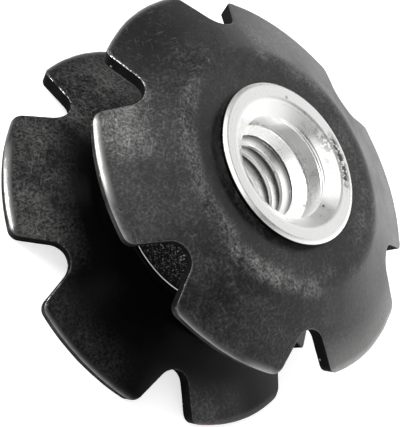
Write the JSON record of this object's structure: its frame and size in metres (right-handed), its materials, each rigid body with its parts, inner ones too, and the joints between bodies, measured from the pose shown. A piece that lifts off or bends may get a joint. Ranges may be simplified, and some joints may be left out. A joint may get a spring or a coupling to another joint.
{
  "type": "star nut",
  "caption": "Star nut for a bicycle steerer tube: dished, slotted spring steel washers swaged onto the ends of a plated, internally threaded barrel.",
  "frame": {"origin": "on the nut's axis, in the plane on which the rear washer's petal tips stand", "axes": "+Z along the axis, from the concave side of the washers to their convex side; a slot of the front washer lies along +X"},
  "size_m": [0.0262, 0.0262, 0.0132],
  "materials": {
    "black_spring_steel": "black oxide on hardened sheet steel, lightly mottled and scratched, worn a little paler round the bend",
    "bright_plate": "bright zinc plate on turned steel, with fine turning marks and a few specks"
  },
  "bodies": {
    "root": {"front_star_washer": "black_spring_steel", "rear_star_washer": "black_spring_steel", "threaded_barrel": "bright_plate"}
  },
  "joints": []
}
